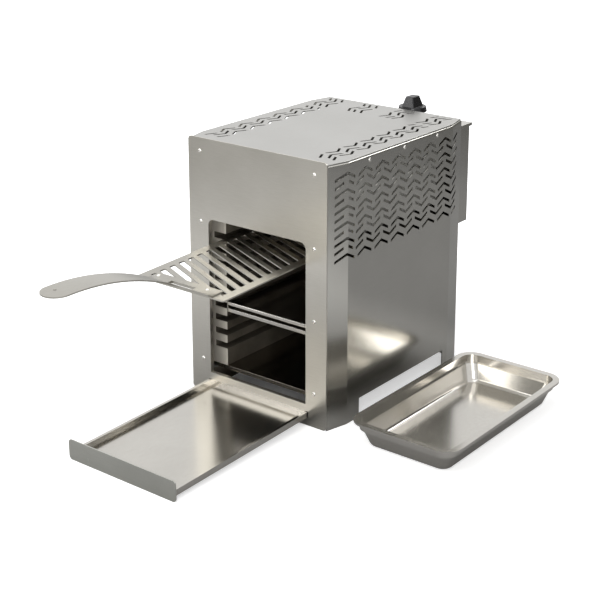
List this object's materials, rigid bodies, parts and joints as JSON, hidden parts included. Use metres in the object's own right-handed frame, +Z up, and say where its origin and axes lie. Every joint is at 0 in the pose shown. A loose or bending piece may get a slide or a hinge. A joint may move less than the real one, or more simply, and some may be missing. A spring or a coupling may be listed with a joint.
{
  "type": "overhead gas grill",
  "caption": "Free-standing overhead grill: open steel casing with comb racks, sliding grate with an arched handle, drip tray, shelf, rear gas knob and a food pan.",
  "frame": {"origin": "on the floor, under the middle of the set's bounding box at rest", "axes": "+X to the right seen from the front, +Y from the front opening to the back, +Z up"},
  "size_m": [0.4955, 0.8078, 0.4195],
  "materials": {
    "stainless_steel": "fine brushed sheet",
    "aluminised_steel": "plain mill sheet",
    "rivet_steel": "bright steel",
    "brass": "turned brass",
    "tile_ceramic": "unglazed cordierite ceramic",
    "probe_ceramic": "glazed ceramic rod",
    "knob_black": "satin black moulding"
  },
  "bodies": {
    "casing": {"burner_bracket_front": "aluminised_steel", "burner_bracket_rear": "aluminised_steel", "burner_hood": "aluminised_steel", "burner_plenum": "aluminised_steel", "ceramic_tile_front": "tile_ceramic", "ceramic_tile_rear": "tile_ceramic", "chamber_back": "stainless_steel", "chamber_floor": "stainless_steel", "comb_frame": "stainless_steel", "front_frame": "stainless_steel", "front_plate": "stainless_steel", "front_rivets": "rivet_steel", "gas_inlet": "brass", "gas_valve": "brass", "ignition_electrode": "probe_ceramic", "injector": "brass", "mixing_tube": "aluminised_steel", "rack_left": "stainless_steel", "rack_right": "stainless_steel", "rear_plate": "stainless_steel", "roof_panel": "stainless_steel", "side_panel_left": "stainless_steel", "side_panel_right": "stainless_steel", "side_rivets": "rivet_steel", "thermocouple": "probe_ceramic", "tile_frame": "aluminised_steel", "tray_guide_left": "stainless_steel", "tray_guide_right": "stainless_steel", "valve_cover": "stainless_steel"},
    "grate_with_handle": {"grate": "stainless_steel", "grate_handle": "stainless_steel", "handle_rivets": "rivet_steel"},
    "tray": {"drip_tray": "stainless_steel", "tray_front": "stainless_steel", "tray_rivets": "rivet_steel"},
    "shelf": {"shelf_tray": "stainless_steel", "shelf_rail": "stainless_steel"},
    "valve_plunger": {"thrust_collar": "brass"},
    "knob": {"valve_stem": "rivet_steel", "control_knob": "knob_black"},
    "pan": {"gn_pan": "stainless_steel"}
  },
  "joints": [
    {"name": "grate_slide", "type": "slide", "parent": "casing", "child": "grate_with_handle", "axis": [0, 0.9996, 0.0279], "range_m": [-0.06, 0.175]},
    {"name": "tray_slide", "type": "slide", "parent": "casing", "child": "tray", "axis": [0, 0.9998, 0.0209], "range_m": [0, 0.2855]},
    {"name": "shelf_slide", "type": "slide", "parent": "casing", "child": "shelf", "axis": [0, 1, 0], "range_m": [-0.2, 0]},
    {"name": "knob_press", "type": "slide", "parent": "casing", "child": "valve_plunger", "axis": [0, 0, -1], "range_m": [0, 0.003], "stiffness_N_per_m": 900, "springref_m": -0.002},
    {"name": "knob_turn", "type": "hinge", "parent": "valve_plunger", "child": "knob", "pos_m": [-0.087, 0.37789, 0.395], "axis": [0, 0, 1], "range_deg": [0, 180]},
    {"name": "pan_lift", "type": "slide", "parent": "casing", "child": "pan", "axis": [0, 0, 1], "range_m": [0, 0.15]}
  ]
}
